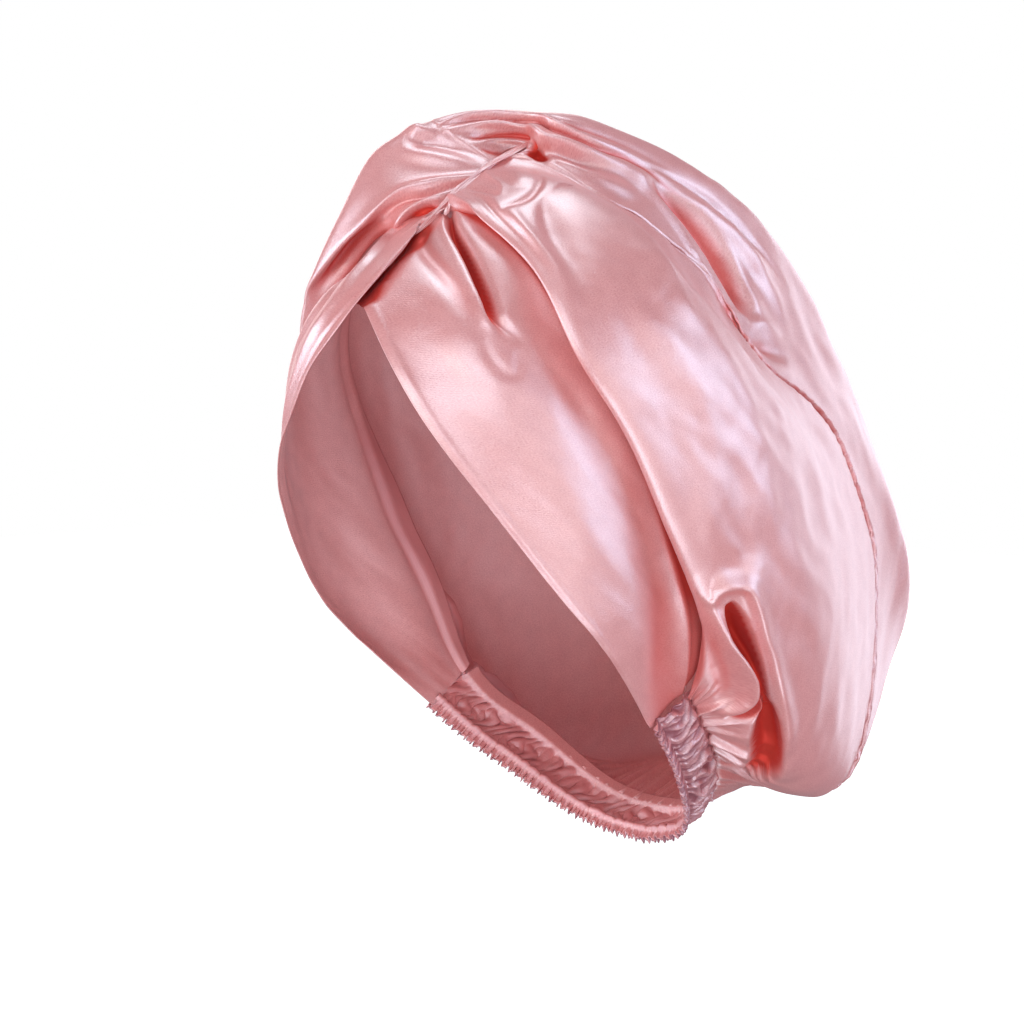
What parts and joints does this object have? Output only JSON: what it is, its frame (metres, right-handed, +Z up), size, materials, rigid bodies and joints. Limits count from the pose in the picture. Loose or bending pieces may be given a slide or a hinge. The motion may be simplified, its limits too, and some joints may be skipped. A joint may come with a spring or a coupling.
{
  "type": "head wrap",
  "caption": "Satin head wrap with a twisted front, a roomy gathered pouch for the hair and an elastic casing at the nape, in its worn form.",
  "frame": {"origin": "middle of the head that the wrap is worn on, at eye height, on the wrap's middle plane", "axes": "+Z up, the face looks along -Y, the wearer's left is +X"},
  "size_m": [0.1999, 0.3316, 0.308],
  "materials": {
    "satin": "pink satin weave, soft sheen",
    "casing": "pink satin gathered over elastic"
  },
  "bodies": {
    "root": {"crown_left": "satin", "crown_right": "satin", "crown_middle": "satin", "band_left": "satin", "band_right": "satin", "twist_left": "satin", "twist_right": "satin", "nape_casing": "casing"}
  },
  "joints": []
}
